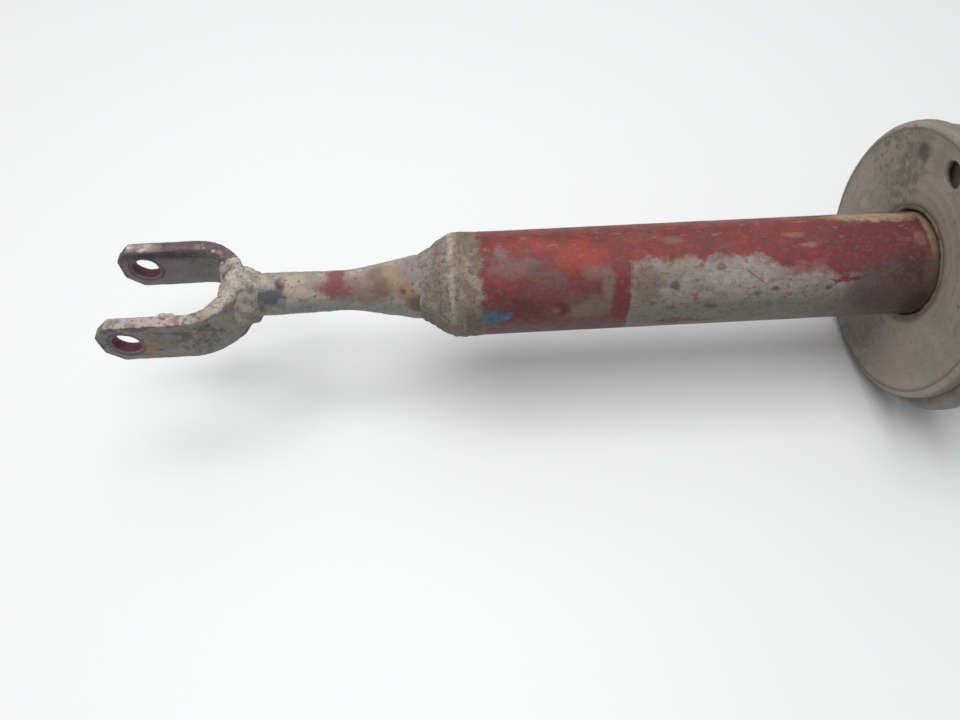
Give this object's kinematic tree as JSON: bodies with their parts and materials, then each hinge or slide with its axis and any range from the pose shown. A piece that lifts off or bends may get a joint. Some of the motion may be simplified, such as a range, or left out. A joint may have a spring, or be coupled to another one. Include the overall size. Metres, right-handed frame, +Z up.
{
  "type": "suspension strut",
  "caption": "Coil-over suspension strut with a clevis fork at the foot, a body tube, a coil spring between two seats and an upper mount plate with studs.",
  "frame": {"origin": "under the middle of the strut's length, on the surface that it lies on", "axes": "+X along the strut's axis from the fork to the upper mount, +Y along the fork's bolt, +Z up from the surface"},
  "size_m": [0.7026, 0.1746, 0.1581],
  "materials": {
    "fork_steel": "worn grey paint over steel, dark maroon stains, light edges",
    "weld_steel": "rough weathered weld and cap, tan-grey crust",
    "neck_steel": "weathered beige-grey paint with maroon and purple-grey spots",
    "red_paint": "satin brick-red paint, worn through to grey primer on one side",
    "bare_steel": "machined or pressed bare steel",
    "rod_chrome": "ground hard chrome",
    "bush_bronze": "plain bearing bronze",
    "zinc_steel": "dull zinc-plated steel",
    "seat_steel": "dusty warm grey-brown paint, matt, with dark dirt",
    "seat_rubber": "dusty grey-brown rubber",
    "mount_steel": "dusty black paint with light rust",
    "spring_paint": "dusty black powder coat, chipped on the coils",
    "rubber": "aged matt black rubber",
    "foam": "tan microcellular polyurethane foam",
    "black_plastic": "moulded black plastic"
  },
  "bodies": {
    "damper_body": {"fork": "fork_steel", "fork_weld": "weld_steel", "neck_tube": "neck_steel", "neck_weld": "weld_steel", "base_cap": "weld_steel", "body_tube": "red_paint", "seat_support_ring": "bare_steel", "rod_guide": "bare_steel", "guide_bush": "bush_bronze", "rod_seal": "rubber", "closing_disc": "bare_steel", "striker_cap": "black_plastic", "pressure_tube": "bare_steel", "base_valve_body": "bare_steel", "base_valve_bolt": "bare_steel"},
    "spring_seat": {"lower_spring_seat": "seat_steel", "lower_spring_pad": "seat_rubber", "coil_spring": "spring_paint"},
    "rod": {"piston_rod": "rod_chrome", "piston": "bare_steel", "piston_ring": "black_plastic", "rebound_shims": "bare_steel", "piston_nut": "zinc_steel", "check_valve_stop": "bare_steel", "rebound_collar": "bare_steel", "rebound_buffer": "rubber", "bump_stop": "foam", "dust_gaiter": "rubber", "upper_spring_pad": "rubber", "upper_spring_seat": "mount_steel", "mount_plate": "mount_steel", "mount_housing": "mount_steel", "mount_rubber": "rubber", "mount_sleeve": "bare_steel", "lower_snub_washer": "zinc_steel", "upper_snub_washer": "zinc_steel", "rod_nut": "zinc_steel", "mount_stud_1": "zinc_steel", "mount_stud_2": "zinc_steel", "mount_stud_3": "zinc_steel"},
    "intake_valve": {"intake_valve_plate": "bare_steel"},
    "check_valve": {"check_valve_plate": "bare_steel"}
  },
  "joints": [
    {"name": "seat_turn", "type": "hinge", "parent": "damper_body", "child": "spring_seat", "pos_m": [0.0453, 0, 0.0701], "axis": [1, 0, 0], "continuous": true},
    {"name": "rod_slide", "type": "slide", "parent": "spring_seat", "child": "rod", "axis": [1, 0, 0], "range_m": [-0.125, 0], "stiffness_N_per_m": 30000, "deforming": ["coil_spring", "dust_gaiter", "bump_stop"]},
    {"name": "intake_valve_lift", "type": "slide", "parent": "damper_body", "child": "intake_valve", "axis": [1, 0, 0], "range_m": [0, 0.001]},
    {"name": "check_valve_lift", "type": "slide", "parent": "rod", "child": "check_valve", "axis": [1, 0, 0], "range_m": [0, 0.001]}
  ]
}
